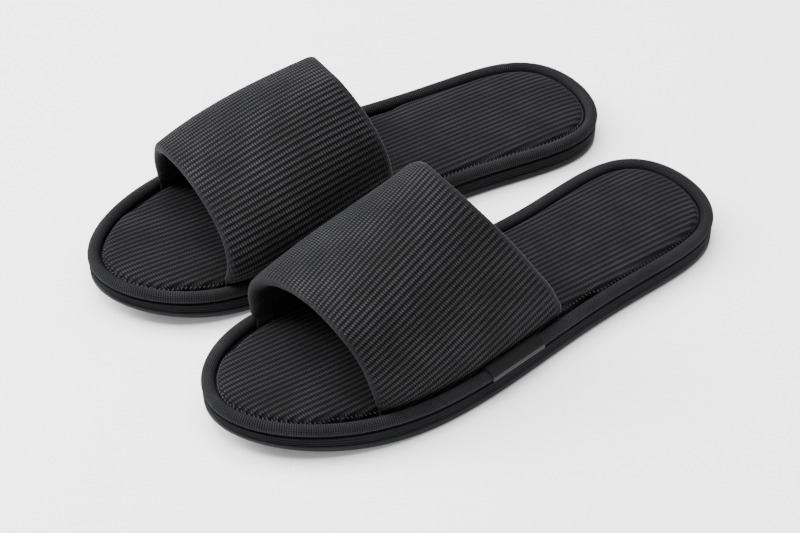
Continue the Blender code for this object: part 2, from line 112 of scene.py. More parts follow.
# ---- Outsoles ------------------------------------------------------------------------------
# Moulded foam-rubber sheets with eased edges and straight tread grooves beneath. The sole's
# outline is an ellipse with its two sides set apart, filled at the ball and drawn in at the waist.
SOLE_LENGTH = 0.280
LATERAL_HALF = 0.0556
MEDIAL_HALF = 0.0450
LATERAL_WAVES = (1.0, 0.050, 0.091, -0.070, 0.008)
MEDIAL_WAVES = (1.0, 0.067, 0.233, -0.091, -0.011)
SPRING_REACH = 0.090
TOE_RISE = 0.0095
TOE_THINNING = 0.0038
SEAM_LOW = 0.0102
PAIR_SPREAD = 0.1004
PAIR_STAGGER = 0.0024
TOE_OUT = math.radians(1.6)
SIDES = ("left", "right")
EDGE_STEP = 0.003
TABLE_STEPS = 6000
MERGE_DISTANCE = 1e-6
DEGENERATE_EDGE = 1e-7


def sole_edge(turn):
    """Outer edge of the left sole: turn 0 at the toe, pi at the heel, lateral side first."""
    turn = np.mod(turn, 2.0 * math.pi)
    lateral = turn <= math.pi
    angle = np.where(lateral, turn, 2.0 * math.pi - turn)
    outer = sum(share * np.sin((k + 1) * angle) for k, share in enumerate(LATERAL_WAVES))
    inner = sum(share * np.sin((k + 1) * angle) for k, share in enumerate(MEDIAL_WAVES))
    across = np.where(lateral, LATERAL_HALF * outer, -MEDIAL_HALF * inner)
    return np.stack([across, -0.5 * SOLE_LENGTH * np.cos(angle)], axis=-1)


def sole_inward(turn):
    """Unit vectors from the edge towards the middle of the sole."""
    along = sole_edge(turn + EDGE_STEP) - sole_edge(turn - EDGE_STEP)
    along /= np.linalg.norm(along, axis=-1, keepdims=True)
    return np.stack([-along[..., 1], along[..., 0]], axis=-1)


def turn_table(inset):
    """Turns and running lengths along the sole's edge at one inset, for even spacing."""
    turn = np.linspace(0.0, 2.0 * math.pi, TABLE_STEPS + 1)
    line = sole_edge(turn) + sole_inward(turn) * inset
    steps = np.linalg.norm(np.diff(line, axis=0), axis=1)
    return turn, np.concatenate([[0.0], np.cumsum(steps)])


def toe_lift(points):
    """Curl flat points up with the toe, thinning the sole towards its tip."""
    reach = np.clip(1.0 - (points[:, 1] + 0.5 * SOLE_LENGTH) / SPRING_REACH, 0.0, None)
    low = np.minimum(points[:, 2], SEAM_LOW) / SEAM_LOW
    lifted = points.copy()
    lifted[:, 2] += reach ** 2 * (TOE_RISE - TOE_THINNING * low)
    return lifted


def into_pair(points, side):
    """Set a left slipper's points into the pair; the right slipper is the mirror image."""
    sign = 1.0 if side == "left" else -1.0
    turned = points.copy()
    turned[:, 0] *= sign
    cos, sin = math.cos(TOE_OUT), sign * math.sin(TOE_OUT)
    x, y = turned[:, 0].copy(), turned[:, 1].copy()
    turned[:, 0] = x * cos - y * sin + sign * 0.5 * PAIR_SPREAD
    turned[:, 1] = x * sin + y * cos - sign * 0.5 * PAIR_STAGGER
    return turned


def start_grid(name, columns, rows):
    """Add a flat grid; return it with its vertices' places as shares from 0 to 1."""
    bpy.ops.object.select_all(action="DESELECT")
    bpy.ops.mesh.primitive_grid_add(x_subdivisions=columns, y_subdivisions=rows, size=1.0)
    piece = bpy.context.object
    piece.name = name
    piece.data.name = name
    flat = np.empty(len(piece.data.vertices) * 3)
    piece.data.vertices.foreach_get("co", flat)
    return piece, flat[0::3] + 0.5, flat[1::3] + 0.5


def set_points(piece, points):
    """Move a piece's vertices to new places."""
    piece.data.vertices.foreach_set("co", points.astype(np.float32).ravel())
    piece.data.update()


def get_points(piece):
    """Places of a piece's vertices."""
    flat = np.empty(len(piece.data.vertices) * 3)
    piece.data.vertices.foreach_get("co", flat)
    return flat.reshape(-1, 3)


def pick(piece):
    """Make a piece the only selected object and the active one."""
    bpy.ops.object.select_all(action="DESELECT")
    piece.select_set(True)
    bpy.context.view_layer.objects.active = piece


def close_seams(piece, fill_ends=False):
    """Merge the vertices that meet at a seam or a pole, and turn the faces outwards."""
    pick(piece)
    bpy.ops.object.mode_set(mode="EDIT")
    bpy.ops.mesh.select_all(action="SELECT")
    bpy.ops.mesh.remove_doubles(threshold=MERGE_DISTANCE)
    if fill_ends:
        bpy.ops.mesh.fill_holes(sides=0)
        bpy.ops.mesh.select_all(action="SELECT")
    bpy.ops.mesh.dissolve_degenerate(threshold=DEGENERATE_EDGE)
    bpy.ops.mesh.select_all(action="SELECT")
    bpy.ops.mesh.normals_make_consistent(inside=False)
    bpy.ops.object.mode_set(mode="OBJECT")
    piece.data.shade_smooth()


def cut_by(piece, tool, operation):
    """Apply an exact boolean with a tool object, and remove the tool."""
    pick(piece)
    cut = piece.modifiers.new("cut", "BOOLEAN")
    cut.operation = operation
    cut.solver = "EXACT"
    cut.object = tool
    bpy.ops.object.modifier_apply(modifier=cut.name)
    bpy.data.objects.remove(tool, do_unlink=True)


def finish_side(piece, side, node, finish, body="slipper"):
    """Mirror a left piece if need be, set it into the pair, give it its finish, attach it to its
    body and hide the part it stands for.
    """
    set_points(piece, into_pair(get_points(piece), side))
    if side == "right":
        piece.data.flip_normals()
    piece.data.materials.clear()
    piece.data.materials.append(finish)
    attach(piece, side + "_" + body)
    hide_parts(side + "_" + node)


def add_bump(nodes, links, height, strength, distance):
    """Raise a finish by the value of one of its nodes."""
    bump = nodes.new("ShaderNodeBump")
    set_inputs(bump, {"Strength": strength, "Distance": distance})
    links.new(height, bump.inputs["Height"])
    links.new(bump.outputs["Normal"], nodes["Principled BSDF"].inputs["Normal"])


def tone_ramp(nodes, links, value, dark, light, ends=(0.0, 1.0)):
    """Ramp from a dark to a light tone over the value of a node."""
    tone = nodes.new("ShaderNodeValToRGB")
    for end, position, color in zip(tone.color_ramp.elements, ends, (dark, light)):
        end.position = position
        end.color = (*color, 1.0)
    links.new(value, tone.inputs["Fac"])
    return tone


def mottled_finish(name, values, grain, dark, light, detail=2.0, ends=(0.0, 1.0)):
    """Finish whose tone wanders from dark to light, with its nodes, links, place and mottle."""
    finish, nodes, links, shader = start_finish(name, values)
    place = nodes.new("ShaderNodeTexCoord")
    mottle = nodes.new("ShaderNodeTexNoise")
    set_inputs(mottle, {"Scale": grain, "Detail": detail})
    links.new(place.outputs["Object"], mottle.inputs["Vector"])
    tone = tone_ramp(nodes, links, mottle.outputs["Fac"], dark, light, ends)
    links.new(tone.outputs["Color"], shader.inputs["Base Color"])
    return finish, nodes, links, place.outputs["Object"], mottle.outputs["Fac"]


# Each point of the section is (share of the way to the sole's spine, inset, height).
OUTSOLE_PROFILE = (
    (1.00, 0.0000, 0.0046), (0.50, 0.0000, 0.0046), (0.0, 0.0050, 0.0046), (0.0, 0.0022, 0.0046),
    (0.0, 0.0016, 0.0045), (0.0, 0.0011, 0.0042), (0.0, 0.0007, 0.0036), (0.0, 0.0006, 0.0028),
    (0.0, 0.0006, 0.0018), (0.0, 0.0007, 0.0010), (0.0, 0.0011, 0.0004), (0.0, 0.0016, 0.0001),
    (0.0, 0.0022, 0.0000), (0.0, 0.0050, 0.0000), (0.50, 0.0000, 0.0000), (1.00, 0.0000, 0.0000),
)
OUTSOLE_COLUMNS = 420
OUTSOLE_SMOOTH = math.radians(40)
SPINE_INSET = 0.036
SPINE_SIDE_INSET = 0.005
TREAD_PITCH = 0.0100
TREAD_WIDTH = 0.0024
TREAD_DEPTH = 0.0012
TREAD_RUNS = ((-0.100, 8), (0.070, 5))
TREAD_MARGIN = 0.010


def sole_rings(u, v, profile):
    """Rings round the sole: each profile point is (share to the spine, inset, height)."""
    turn_steps, lengths = turn_table(0.0)
    half = len(turn_steps) // 2
    back = np.interp(2.0 * np.minimum(u, 1.0 - u) * lengths[half],
                     lengths[:half + 1], turn_steps[:half + 1])
    turn = np.where(u <= 0.5, back, 2.0 * math.pi - back)
    index = np.rint(v * (len(profile) - 1)).astype(int)
    table = np.array(profile)[index]
    share = table[:, 0:1]
    inset = np.maximum(table[:, 1:2], SPINE_SIDE_INSET * (share > 0))
    edge = sole_edge(turn) + sole_inward(turn) * inset
    spine_y = -(0.5 * SOLE_LENGTH - SPINE_INSET) * np.cos(back)
    spine_turn = np.arccos(np.clip(-2.0 * spine_y / SOLE_LENGTH, -1.0, 1.0))
    spine_x = 0.5 * (sole_edge(spine_turn)[:, 0] + sole_edge(2.0 * math.pi - spine_turn)[:, 0])
    spine = np.stack([spine_x, spine_y], axis=-1)
    plan = edge * (1.0 - share) + spine * share
    return np.column_stack([plan, table[:, 2]])


foam_rubber, nodes, links, place, _ = mottled_finish(
    "foam_rubber", {"Roughness": 0.55, "Specular IOR Level": 0.12}, 60.0,
    (0.0050, 0.0055, 0.0068), (0.0100, 0.0105, 0.0125), detail=4.0, ends=(0.3, 0.75))
pebble = nodes.new("ShaderNodeTexVoronoi")
set_inputs(pebble, {"Scale": 1400.0})
links.new(place, pebble.inputs["Vector"])
add_bump(nodes, links, pebble.outputs["Distance"], strength=0.35, distance=0.0001)
for side in SIDES:
    outsole, u, v = start_grid(side + "_foam_outsole", OUTSOLE_COLUMNS, len(OUTSOLE_PROFILE) - 1)
    set_points(outsole, sole_rings(u, v, OUTSOLE_PROFILE))
    close_seams(outsole)
    cutters = None
    for start, count in TREAD_RUNS:
        for k in range(count):
            middle = start + (k + 0.5) * TREAD_PITCH
            turn = math.acos(-2.0 * middle / SOLE_LENGTH)
            high = float(sole_edge(np.array([turn]))[0, 0]) - TREAD_MARGIN
            low = float(sole_edge(np.array([2.0 * math.pi - turn]))[0, 0]) + TREAD_MARGIN
            bpy.ops.object.select_all(action="DESELECT")
            bpy.ops.mesh.primitive_cube_add(size=1.0, location=(0.5 * (low + high), middle, 0.0))
            cutter = bpy.context.object
            cutter.scale = (high - low, TREAD_WIDTH, 2.0 * TREAD_DEPTH)
            bpy.ops.object.transform_apply(location=False, rotation=False, scale=True)
            if cutters is None:
                cutters = cutter
            else:
                cutters.select_set(True)
                bpy.context.view_layer.objects.active = cutters
                bpy.ops.object.join()
    cut_by(outsole, cutters, "DIFFERENCE")
    set_points(outsole, toe_lift(get_points(outsole)))
    finish_side(outsole, side, "outsole", foam_rubber)
    bpy.ops.object.shade_smooth_by_angle(angle=OUTSOLE_SMOOTH)

# ---- Boards, padding and filler cord -------------------------------------------------------
# Inside each slipper a fibre board stiffens the sole, with foam over it, under the sock and in the
# band, and a soft cotton cord fills the welt. None of them shows once the covers are sewn shut.
INNER_FINISHES = (
    ("insole_board", (0.30, 0.21, 0.13), (0.40, 0.30, 0.20), 900.0, 0.85),
    ("midsole_foam", (0.20, 0.20, 0.21), (0.28, 0.28, 0.29), 1600.0, 0.95),
    ("sock_foam", (0.20, 0.20, 0.21), (0.28, 0.28, 0.29), 1600.0, 0.95),
    ("upper_foam", (0.20, 0.20, 0.21), (0.28, 0.28, 0.29), 1600.0, 0.95),
    ("welt_cord", (0.52, 0.51, 0.48), (0.66, 0.65, 0.62), 2600.0, 0.95),
)
for node, dark, light, grain, roughness in INNER_FINISHES:
    inner, nodes, links, _, speckle = mottled_finish(
        node + "_finish", {"Roughness": roughness}, grain, dark, light)
    add_bump(nodes, links, speckle, strength=0.4, distance=0.0002)
    for side in SIDES:
        solid = bpy.data.objects[side + "_" + node]
        solid.data.materials.clear()
        solid.data.materials.append(inner)

# ---- Side wraps ----------------------------------------------------------------------------
# A strip of the same knit wrapped round the sole's side and turned in above and below the board.
# It is pulled over the edge and glued, so two shallow folds run all the way round.
WRAP_PROFILE = (
    (0.0120, 0.0100), (0.0040, 0.0100), (0.0013, 0.0100), (0.0008, 0.0098), (0.00050, 0.0094),
    (0.00045, 0.0089), (0.00055, 0.0085), (0.00095, 0.0082), (0.00060, 0.0079), (0.00045, 0.0075),
    (0.00045, 0.0071), (0.00060, 0.0067), (0.00100, 0.0064), (0.00060, 0.0061), (0.00045, 0.0057),
    (0.00055, 0.0053), (0.00090, 0.0050), (0.0014, 0.0049), (0.0040, 0.0049), (0.0120, 0.0049),
    (0.0120, 0.0056), (0.0040, 0.0056), (0.0014, 0.0058), (0.0013, 0.0075), (0.0014, 0.0092),
    (0.0040, 0.0094), (0.0120, 0.0094), (0.0120, 0.0100),
)
LAY_INSET = 0.003
WRAP_COLUMNS = 900
WRAP_RIB = 0.00105
WRAP_STITCH = 0.0007
# Painted light and shade of a knit: how fast the painted light on a rib grows towards its crown and
# by how much, how dark the painted shade in the gaps between its stitches is, how much of that is
# lost on the crown, and the tone that is neither.
RIB_POWER = 0.55
RIB_CROWN_LIGHT = 0.66
GAP_SHADE = 0.62
GAP_FADE = 0.20
TONE_LIFT = 0.12
TONE_MIDDLE = 0.42
# Places of the painted furrow shade's and the fleck's tones on the ramp, and of the crown's between
# them.
TONE_ENDS = (0.12, 0.86)
TONE_CROWN = 0.47
FIBRE_SCALE = 2600.0
PATCH_SCALE = 45.0
PATCH_DEPTH = 0.35
RUNG_RISE = 0.7
FIBRE_RISE = 0.5
KNIT_BUMP = 0.00022
# Half width and strength of the painted highlight line on the band's rear fold edge.
FOLD_HIGHLIGHT_HALF = 0.00036
FOLD_HIGHLIGHT = 1.9


def set_uv(piece, across, along):
    """Give every corner of the faces its place on the cloth, in metres."""
    corners = np.empty(len(piece.data.loops), dtype=np.int32)
    piece.data.loops.foreach_get("vertex_index", corners)
    values = np.stack([across[corners], along[corners]], axis=-1)
    piece.data.uv_layers[0].data.foreach_set("uv", values.astype(np.float32).ravel())


def ring_piece(name, columns, profile):
    """Closed ring round the sole from (inset, height) points, with its cloth laid along it."""
    piece, u, v = start_grid(name, columns, len(profile) - 1)
    turn_steps, lengths = turn_table(LAY_INSET)
    turn = np.interp(u * lengths[-1], lengths, turn_steps)
    index = np.rint(v * (len(profile) - 1)).astype(int)
    table = np.array(profile)[index]
    plan = sole_edge(turn) + sole_inward(turn) * table[:, 0:1]
    set_points(piece, np.column_stack([plan, table[:, 1]]))
    steps = np.linalg.norm(np.diff(np.array(profile), axis=0), axis=1)
    reach = np.concatenate([[0.0], np.cumsum(steps)])
    set_uv(piece, u * lengths[-1], reach[index])
    return piece, u, v, turn


def knit_finish(name, furrow_shade, crown, fleck, rib_pitch, stitch_pitch, chevron, fold_line=None):
    """Rib knit: rounded ribs along the cloth, each a ladder of small stitches; painted shade darkens
    the furrows and the gaps between the stitches, and painted light pales the rib crowns.

    With a fold line, the painted rib light and shade follow the cloth's rib_share and a painted
    highlight line marks the fold's edge.
    """
    finish, nodes, links, shader = start_finish(name, {
        "Roughness": 0.82, "Specular IOR Level": 0.10,
        "Sheen Weight": 0.03, "Sheen Roughness": 0.45,
        "Sheen Tint": (0.75, 0.77, 0.85, 1.0),
    })

    def math_node(operation, first, second=None):
        node = nodes.new("ShaderNodeMath")
        node.operation = operation
        for slot_number, value in enumerate((first, second)):
            if value is None:
                continue
            if isinstance(value, (int, float)):
                node.inputs[slot_number].default_value = value
            else:
                links.new(value, node.inputs[slot_number])
        return node.outputs["Value"]

    cloth = nodes.new("ShaderNodeTexCoord")
    split = nodes.new("ShaderNodeSeparateXYZ")
    links.new(cloth.outputs["UV"], split.inputs["Vector"])
    ribs = math_node("DIVIDE", split.outputs["X"], rib_pitch)
    across = math_node("PINGPONG", ribs, 0.5)
    rows = math_node("DIVIDE", split.outputs["Y"], stitch_pitch)
    slanted = math_node("ADD", rows, math_node("MULTIPLY", across, chevron))
    ladder = math_node("PINGPONG", slanted, 0.5)
    crest = math_node("MULTIPLY", across, 2.0)
    rung = math_node("MULTIPLY", ladder, 2.0)
    fibres, shade = nodes.new("ShaderNodeTexNoise"), nodes.new("ShaderNodeTexNoise")
    set_inputs(fibres, {"Scale": FIBRE_SCALE, "Detail": 3.0})
    set_inputs(shade, {"Scale": PATCH_SCALE, "Detail": 2.0})
    links.new(cloth.outputs["UV"], fibres.inputs["Vector"])
    links.new(cloth.outputs["UV"], shade.inputs["Vector"])
    # Painted light on the rib crowns and painted shade in the stitch gaps; the furrows fall to the
    # darkest, painted shade tone.
    broad = math_node("MULTIPLY", math_node("POWER", crest, RIB_POWER), RIB_CROWN_LIGHT)
    gap_shade_strength = math_node("SUBTRACT", GAP_SHADE, math_node("MULTIPLY", crest, GAP_FADE))
    stitch_gap_shade = math_node("MULTIPLY", math_node("SUBTRACT", 1.0, rung), gap_shade_strength)
    loops = math_node("ADD", math_node("SUBTRACT", broad, stitch_gap_shade), TONE_LIFT)
    if fold_line is not None:
        edge = nodes.new("ShaderNodeAttribute")
        edge.attribute_name = "rib_share"
        level = math_node("SUBTRACT", loops, TONE_MIDDLE)
        level = math_node("MULTIPLY", level, edge.outputs["Fac"])
        loops = math_node("ADD", level, TONE_MIDDLE)
    fuzz = math_node("SUBTRACT", fibres.outputs["Fac"], 0.5)
    patches = math_node("MULTIPLY", math_node("SUBTRACT", shade.outputs["Fac"], 0.5), PATCH_DEPTH)
    uneven = math_node("ADD", math_node("ADD", loops, fuzz), patches)
    # Painted highlight: a pale line along the rear fold's edge, standing in for light catching it.
    if fold_line is not None:
        from_fold = math_node("ABSOLUTE", math_node("ADD", split.outputs["Y"], fold_line))
        fold = math_node("LESS_THAN", from_fold, FOLD_HIGHLIGHT_HALF)
        uneven = math_node("ADD", uneven, math_node("MULTIPLY", fold, FOLD_HIGHLIGHT))
    tone = tone_ramp(nodes, links, uneven, furrow_shade, fleck, TONE_ENDS)
    tone.color_ramp.elements.new(TONE_CROWN).color = (*crown, 1.0)
    links.new(tone.outputs["Color"], shader.inputs["Base Color"])
    rungs = math_node("MULTIPLY", rung, RUNG_RISE)
    relief = math_node("ADD", rungs, math_node("MULTIPLY", fibres.outputs["Fac"], FIBRE_RISE))
    add_bump(nodes, links, relief, strength=0.9, distance=KNIT_BUMP)
    return finish


# Colours: painted shade in the furrows, the crowns' tone, and the lighter flecks.
wrap_knit = knit_finish("wrap_knit", (0.0025, 0.0025, 0.0028), (0.0080, 0.0080, 0.0090),
                        (0.018, 0.018, 0.020), WRAP_RIB, WRAP_STITCH, 0.5)
for side in SIDES:
    wrap = ring_piece(side + "_knit_side_wrap", WRAP_COLUMNS, WRAP_PROFILE)[0]
    close_seams(wrap)
    set_points(wrap, toe_lift(get_points(wrap)))
    finish_side(wrap, side, "side_wrap", wrap_knit)

# ---- Welts ---------------------------------------------------------------------------------
# A bias-cut knit strip sewn round a filler cord and into the seam between the wrap and the sock. Its
# fine ribs cross the welt at a slant, like a rope's lay.
WELT_RADIUS = 0.00295
WELT_HEIGHT = 0.01315
WELT_RIB = 0.00106
WELT_STITCH = 0.0009
WELT_RELIEF = 0.00011
WELT_COLUMNS = 2480
WELT_SIDES = 16
# Colours: painted shade in the furrows, the crowns' tone, and the lighter flecks.
welt_knit = knit_finish("welt_knit", (0.0018, 0.0018, 0.0020), (0.0080, 0.0080, 0.0090),
                        (0.045, 0.045, 0.049), WELT_RIB, WELT_STITCH, 0.9)
welt_profile = []
for step in range(WELT_SIDES + 1):
    angle = -0.5 * math.pi - 2.0 * math.pi * step / WELT_SIDES
    welt_profile.append((WELT_RADIUS * (1.0 + math.cos(angle)),
                         WELT_HEIGHT + WELT_RADIUS * math.sin(angle)))
for side in SIDES:
    welt, u, v, turn = ring_piece(side + "_ribbed_welt", WELT_COLUMNS, welt_profile)
    points = get_points(welt)
    length = turn_table(LAY_INSET)[1][-1]
    ribs = round(length / WELT_RIB)
    angle = -0.5 * math.pi - 2.0 * math.pi * v
    slant = 0.5 * np.abs(np.sin(0.5 * angle))
    relief = WELT_RELIEF * np.sin(2.0 * math.pi * (u * ribs + slant))
    inward = sole_inward(turn)
    points[:, :2] += inward * (np.cos(angle) * relief)[:, None]
    points[:, 2] += np.sin(angle) * relief
    set_points(welt, points)
    close_seams(welt)
    set_points(welt, toe_lift(get_points(welt)))
    finish_side(welt, side, "welt_cover", welt_knit)

# ---- Socks ---------------------------------------------------------------------------------
# The pad underfoot: foam under a rib-knit cover drawn down over its edge into a groove beside the
# welt. The ribs run straight from toe to heel and dive over the rounded edge at both ends.
SOCK_INSET = 0.0070
SOCK_ROUND = 0.0040
SOCK_SHOULDER = 0.0117
SOCK_CROWN = 0.0012
SOCK_CROWN_REACH = 0.0150
SEAM_ROOM = 0.00224
SEAM_EASE = 0.010
SEAM_MARGIN = 0.0200
BAND_LATERAL = (0.058, 0.166)
BAND_MEDIAL = (0.0475, 0.144)
SOCK_RIB = 0.00292
SOCK_RELIEF = 0.00042
SOCK_RIB_LEVEL = 0.7
RIB_SQUARENESS = 2.6
STITCH_PITCH = 0.00128
SOCK_CELL_LONG = 0.0012
SOCK_SLAB = 0.010
RIB_CELLS = 6
RIM_STEPS = 2400
RIM_MARGIN = 0.003
RIM_EASE = 0.0008
NEAREST_BATCH = 2000


def smooth_share(share):
    """Ease from 0 to 1."""
    share = np.clip(share, 0.0, 1.0)
    return share * share * (3.0 - 2.0 * share)


def seam_share(turn):
    """1 where the band passes down beside the sock, easing to 0 beyond its ends."""
    back = sole_edge(turn)[:, 1] + 0.5 * SOLE_LENGTH
    lateral = turn <= math.pi
    front = np.where(lateral, BAND_LATERAL[0], BAND_MEDIAL[0]) - SEAM_MARGIN
    rear = np.where(lateral, BAND_LATERAL[1], BAND_MEDIAL[1]) + SEAM_MARGIN
    begun = smooth_share((back - front + SEAM_EASE) / SEAM_EASE)
    return begun * smooth_share((rear + SEAM_EASE - back) / SEAM_EASE)


def rib_wave(phase):
    """Height of a rib from 0 in the furrow to 1 on its crown; ribs are broad, furrows narrow."""
    offset = np.abs(phase - np.floor(phase) - 0.5) * 2.0
    return 1.0 - offset ** RIB_SQUARENESS


def raise_slab(flat, height):
    """Extrude a flat shape upwards into a closed slab."""
    pick(flat)
    bpy.ops.object.mode_set(mode="EDIT")
    bpy.ops.mesh.select_all(action="SELECT")
    bpy.ops.mesh.extrude_region_move(TRANSFORM_OT_translate={"value": (0.0, 0.0, height)})
    bpy.ops.mesh.select_all(action="SELECT")
    bpy.ops.mesh.normals_make_consistent(inside=False)
    bpy.ops.object.mode_set(mode="OBJECT")


# Colours: painted shade in the furrows, the crowns' tone, and the lighter flecks.
sock_knit = knit_finish("sock_knit", (0.0006, 0.0006, 0.0007), (0.0054, 0.0054, 0.0061),
                        (0.036, 0.036, 0.041), SOCK_RIB, STITCH_PITCH, 0.6)
rim_turn = np.linspace(0.0, 2.0 * math.pi, RIM_STEPS + 1)[:-1]
rim_inset = SOCK_INSET + SEAM_ROOM * seam_share(rim_turn)
rim = sole_edge(rim_turn) + sole_inward(rim_turn) * rim_inset[:, None]
low_x, low_y = rim.min(axis=0) - RIM_MARGIN
high_x, high_y = rim.max(axis=0) + RIM_MARGIN
cell = SOCK_RIB / RIB_CELLS
columns = math.ceil((high_x - low_x) / cell)
rows = math.ceil((high_y - low_y) / SOCK_CELL_LONG)
sock, u, v = start_grid("sock_pattern", columns, rows)
set_points(sock, np.column_stack([low_x + u * columns * cell,
                                  low_y + v * rows * SOCK_CELL_LONG, 0.0 * u]))
raise_slab(sock, SOCK_SLAB)
bpy.ops.object.select_all(action="DESELECT")
bpy.ops.mesh.primitive_circle_add(vertices=RIM_STEPS // 2, radius=1.0, fill_type="NGON")
outline = bpy.context.object
set_points(outline, np.column_stack([rim[::2], np.full(RIM_STEPS // 2, -0.5 * SOCK_SLAB)]))
raise_slab(outline, 2.0 * SOCK_SLAB)
cut_by(sock, outline, "INTERSECT")
points = get_points(sock)
set_uv(sock, points[:, 0], points[:, 1])
top = points[:, 2] > 0.5 * SOCK_SLAB
plan = points[:, :2]
inset = np.empty(len(plan))
outward = np.zeros((len(plan), 2))
ahead = np.roll(rim, -1, axis=0) - rim
ahead_square = (ahead ** 2).sum(axis=1)
for start in range(0, len(plan), NEAREST_BATCH):
    batch = slice(start, start + NEAREST_BATCH)
    part = plan[batch]
    away = part[:, None, :] - rim[None, :, :]
    share = np.clip((away * ahead).sum(axis=2) / ahead_square, 0.0, 1.0)
    away -= share[:, :, None] * ahead
    distance = np.linalg.norm(away, axis=2)
    nearest = distance.argmin(axis=1)
    picked = np.arange(len(part))
    inset[batch] = distance[picked, nearest]
    outward[batch] = -away[picked, nearest] / np.maximum(inset[batch], DEGENERATE_EDGE)[:, None]
bend = np.clip(1.0 - inset / SOCK_ROUND, 0.0, 1.0)
height = SOCK_SHOULDER + SOCK_ROUND * np.sqrt(1.0 - bend ** 2)
crown_share = np.clip((inset - SOCK_ROUND) / SOCK_CROWN_REACH, 0.0, 1.0)
height += SOCK_CROWN * (1.0 - (1.0 - crown_share) ** 2)
relief = SOCK_RELIEF * (rib_wave(plan[:, 0] / SOCK_RIB) - SOCK_RIB_LEVEL)
relief = relief * smooth_share(inset / RIM_EASE)
shaped = np.column_stack([plan + outward * (bend * relief)[:, None],
                          height + np.sqrt(1.0 - bend ** 2) * relief])
points = np.where(top[:, None], shaped, np.column_stack([plan, np.full(len(plan), SEAM_LOW)]))
set_points(sock, toe_lift(points))
close_seams(sock)
for side in SIDES:
    pick(sock)
    bpy.ops.object.duplicate()
    pad = bpy.context.object
    pad.name = side + "_ribbed_sock"
    finish_side(pad, side, "sock_cover", sock_knit)
bpy.data.objects.remove(sock, do_unlink=True)

# ---- Sock seams ----------------------------------------------------------------------------
# Small slanting stitches of grey thread that close each sock down in its groove, beside the welt.
# They are single short loops of twisted thread, evenly spaced all the way round.
THREAD_PITCH = 0.00213
THREAD_RADIUS = 0.00021
THREAD_LONG = 0.00075
THREAD_HEIGHT = 0.0134
STITCH_SINK = 0.0004
# Directions of a stitch: outwards and down into the groove, then how much it leans along the seam.
STITCH_DOWN = (0.45, 0.9)
STITCH_LEAN = (0.8, 0.6)
sewing_thread = mottled_finish("sewing_thread", {"Roughness": 0.6, "Sheen Weight": 0.2}, 1500.0,
                               (0.010, 0.010, 0.011), (0.046, 0.046, 0.050))[0]
rim_steps = np.linalg.norm(np.diff(np.vstack([rim, rim[:1]]), axis=0), axis=1)
rim_length = np.concatenate([[0.0], np.cumsum(rim_steps)])
stitch_count = round(rim_length[-1] / THREAD_PITCH)
stitch_turn = np.interp((np.arange(stitch_count) + 0.5) / stitch_count * rim_length[-1],
                        rim_length, np.append(rim_turn, 2.0 * math.pi))
for side in SIDES:
    bpy.ops.mesh.primitive_uv_sphere_add(segments=6, ring_count=4, radius=1.0)
    stitch = bpy.context.object
    pattern = get_points(stitch)
    faces = [list(face.vertices) for face in stitch.data.polygons]
    seam_inset = SOCK_INSET + SEAM_ROOM * seam_share(stitch_turn) + STITCH_SINK
    inward = sole_inward(stitch_turn)
    middle = np.column_stack([sole_edge(stitch_turn) + inward * seam_inset[:, None],
                              np.full(stitch_count, THREAD_HEIGHT)])
    along = np.column_stack([inward[:, 1], -inward[:, 0], np.zeros(stitch_count)])
    down = np.column_stack([-inward * STITCH_DOWN[0], np.full(stitch_count, -STITCH_DOWN[1])])
    lean = STITCH_LEAN[0] * down + STITCH_LEAN[1] * along
    lean /= np.linalg.norm(lean, axis=1, keepdims=True)
    face_out = np.cross(lean, along)
    face_out /= np.linalg.norm(face_out, axis=1, keepdims=True)
    third = np.cross(face_out, lean)
    spots = (middle[:, None, :] + lean[:, None, :] * (pattern[None, :, 2:3] * THREAD_LONG)
             + face_out[:, None, :] * (pattern[None, :, 0:1] * THREAD_RADIUS)
             + third[:, None, :] * (pattern[None, :, 1:2] * THREAD_RADIUS)).reshape(-1, 3)
    mesh = bpy.data.meshes.new(side + "_sock_seam_stitches")
    mesh.from_pydata(spots.tolist(), [], [[corner + k * len(pattern) for corner in face]
                                          for k in range(stitch_count) for face in faces])
    stitch.data = mesh
    stitch.name = mesh.name
    set_points(stitch, toe_lift(get_points(stitch)))
    bpy.ops.object.mode_set(mode="EDIT")
    bpy.ops.mesh.select_all(action="SELECT")
    bpy.ops.mesh.normals_make_consistent(inside=False)
    bpy.ops.object.mode_set(mode="OBJECT")
    stitch.data.shade_smooth()
    finish_side(stitch, side, "sock_seam_thread", sewing_thread)

# ---- Bands ---------------------------------------------------------------------------------
# One padded strap over the instep: rib knit wrapped round foam, folded under at the front and rear,
# with both feet sewn down into the seam between the sock and the welt.
RIM_TOP = 0.0161
BAND_INSET = 0.0062
# Crest line, front to rear: heights over the feet, and places to the side and towards the toe.
CREST_HEIGHTS = (0.0415, 0.0595, 0.0740)
CREST_SIDE = (-0.0060, 0.0170)
CREST_LEAN = (-0.0050, -0.0270)
# Each side's arch: tilt at the foot, and the pulls of the foot and of the crest on its curve.
LATERAL_SHOULDER = (math.radians(-8), 0.27, 0.95)
MEDIAL_SHOULDER = (math.radians(38), 0.74, 0.55)
BAND_THICK = 0.0056
BAND_SEAM_THICK = 0.0020
BAND_SWELL = 0.0100
BAND_HEM = 0.0100
LINING_DEPTH = 0.0010
# Ribs: pitch at the crest, its growth outwards, how far they follow the cloth, and their drift.
BAND_RIB_MIDDLE = 0.0027
BAND_RIB_SPREAD = 0.0080
BAND_RIB_FOLLOW = 0.80
BAND_RIB_DRIFT = -0.005
BAND_RELIEF = 0.00050
BAND_RIB_LEVEL = 0.6
# The padding swells just above the feet and is pinched where they enter the seam.
BAND_BULGE = 0.0016
BAND_BULGE_RISE = 0.0055
BAND_CREASE = 0.0007
BULGE_TOP = 0.012
BULGE_EASE = 0.020
CREASE_RISE = 0.0025
